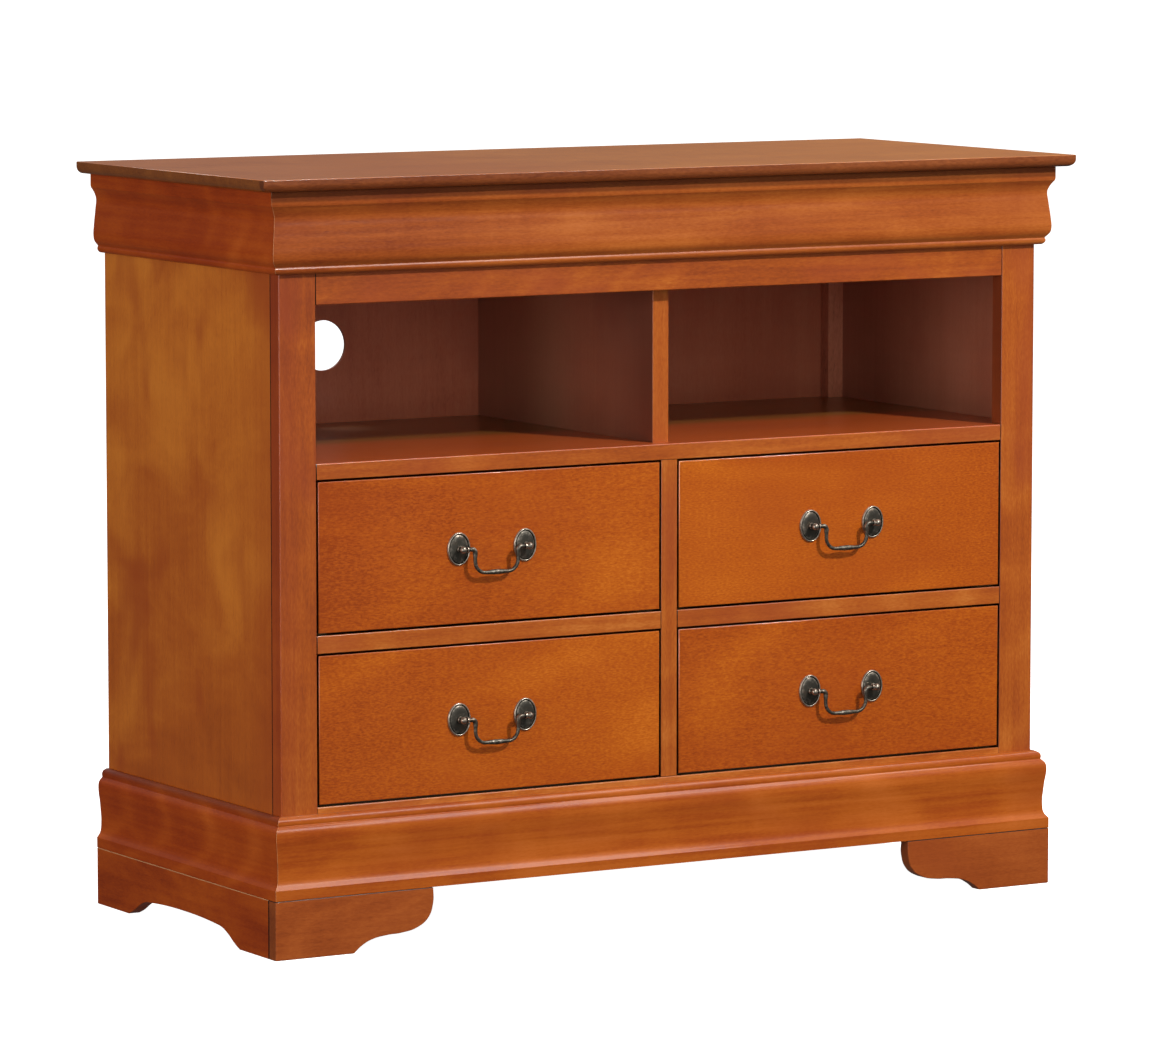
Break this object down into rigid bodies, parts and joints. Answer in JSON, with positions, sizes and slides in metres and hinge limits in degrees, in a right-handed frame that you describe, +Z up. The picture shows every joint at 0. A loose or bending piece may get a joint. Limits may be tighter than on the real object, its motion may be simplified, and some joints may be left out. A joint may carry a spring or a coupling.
{
  "type": "media chest",
  "caption": "Low wooden media chest with open bays over dovetailed drawers on bail pulls, a moulded cornice and base, and bracket feet.",
  "frame": {"origin": "on the floor, under the middle of the top", "axes": "+X to the right seen from the front, +Y to the back, +Z up; the drawers open towards -Y"},
  "size_m": [1.067, 0.457, 0.858],
  "materials": {
    "cherry_top": "satin lacquer",
    "cherry_moulding": "satin lacquer",
    "cherry_frame": "satin lacquer",
    "cherry_panel": "satin lacquer",
    "cherry_foot": "satin lacquer",
    "cherry_inside": "matt stain",
    "cherry_drawer_front": "satin lacquer",
    "plain_wood": "bare, sanded",
    "antique_pewter": "dark antique plating, worn bright on the rims"
  },
  "bodies": {
    "case": {"top_panel": "cherry_top", "cornice_front": "cherry_moulding", "cornice_left": "cherry_moulding", "cornice_right": "cherry_moulding", "top_rail": "cherry_frame", "stile_left": "cherry_frame", "stile_right": "cherry_frame", "side_panel_left": "cherry_panel", "side_panel_right": "cherry_panel", "rear_post_left": "cherry_inside", "rear_post_right": "cherry_inside", "rear_top_rail": "cherry_inside", "shelf_panel": "cherry_frame", "centre_divider": "cherry_frame", "centre_stile": "cherry_frame", "mid_rail_left": "cherry_frame", "mid_rail_right": "cherry_frame", "bottom_rail": "cherry_frame", "back_panel": "cherry_inside", "upper_drawer_frame": "plain_wood", "lower_drawer_frame": "plain_wood", "base_moulding_front": "cherry_moulding", "base_moulding_left": "cherry_moulding", "base_moulding_right": "cherry_moulding", "front_foot_left": "cherry_foot", "front_foot_right": "cherry_foot", "side_apron_left": "cherry_foot", "side_apron_right": "cherry_foot"},
    "upper_left_drawer": {"upper_left_drawer_front": "cherry_drawer_front", "upper_left_drawer_side_left": "plain_wood", "upper_left_drawer_side_right": "plain_wood", "upper_left_drawer_back": "plain_wood", "upper_left_drawer_bottom": "plain_wood", "upper_left_pull_post_left": "antique_pewter", "upper_left_pull_post_right": "antique_pewter"},
    "upper_left_bail": {"upper_left_pull_bail": "antique_pewter"},
    "upper_right_drawer": {"upper_right_drawer_front": "cherry_drawer_front", "upper_right_drawer_side_left": "plain_wood", "upper_right_drawer_side_right": "plain_wood", "upper_right_drawer_back": "plain_wood", "upper_right_drawer_bottom": "plain_wood", "upper_right_pull_post_left": "antique_pewter", "upper_right_pull_post_right": "antique_pewter"},
    "upper_right_bail": {"upper_right_pull_bail": "antique_pewter"},
    "lower_left_drawer": {"lower_left_drawer_front": "cherry_drawer_front", "lower_left_drawer_side_left": "plain_wood", "lower_left_drawer_side_right": "plain_wood", "lower_left_drawer_back": "plain_wood", "lower_left_drawer_bottom": "plain_wood", "lower_left_pull_post_left": "antique_pewter", "lower_left_pull_post_right": "antique_pewter"},
    "lower_left_bail": {"lower_left_pull_bail": "antique_pewter"},
    "lower_right_drawer": {"lower_right_drawer_front": "cherry_drawer_front", "lower_right_drawer_side_left": "plain_wood", "lower_right_drawer_side_right": "plain_wood", "lower_right_drawer_back": "plain_wood", "lower_right_drawer_bottom": "plain_wood", "lower_right_pull_post_left": "antique_pewter", "lower_right_pull_post_right": "antique_pewter"},
    "lower_right_bail": {"lower_right_pull_bail": "antique_pewter"}
  },
  "joints": [
    {"name": "upper_left_drawer_slide", "type": "slide", "parent": "case", "child": "upper_left_drawer", "axis": [0, -1, 0], "range_m": [0, 0.28]},
    {"name": "upper_left_bail_hinge", "type": "hinge", "parent": "upper_left_drawer", "child": "upper_left_bail", "pos_m": [-0.2318, -0.2068, 0.44], "axis": [-1, 0, 0], "range_deg": [-14, 90]},
    {"name": "upper_right_drawer_slide", "type": "slide", "parent": "case", "child": "upper_right_drawer", "axis": [0, -1, 0], "range_m": [0, 0.28]},
    {"name": "upper_right_bail_hinge", "type": "hinge", "parent": "upper_right_drawer", "child": "upper_right_bail", "pos_m": [0.2318, -0.2068, 0.44], "axis": [-1, 0, 0], "range_deg": [-14, 90]},
    {"name": "lower_left_drawer_slide", "type": "slide", "parent": "case", "child": "lower_left_drawer", "axis": [0, -1, 0], "range_m": [0, 0.28]},
    {"name": "lower_left_bail_hinge", "type": "hinge", "parent": "lower_left_drawer", "child": "lower_left_bail", "pos_m": [-0.2318, -0.2068, 0.249], "axis": [-1, 0, 0], "range_deg": [-14, 90]},
    {"name": "lower_right_drawer_slide", "type": "slide", "parent": "case", "child": "lower_right_drawer", "axis": [0, -1, 0], "range_m": [0, 0.28]},
    {"name": "lower_right_bail_hinge", "type": "hinge", "parent": "lower_right_drawer", "child": "lower_right_bail", "pos_m": [0.2318, -0.2068, 0.249], "axis": [-1, 0, 0], "range_deg": [-14, 90]}
  ]
}
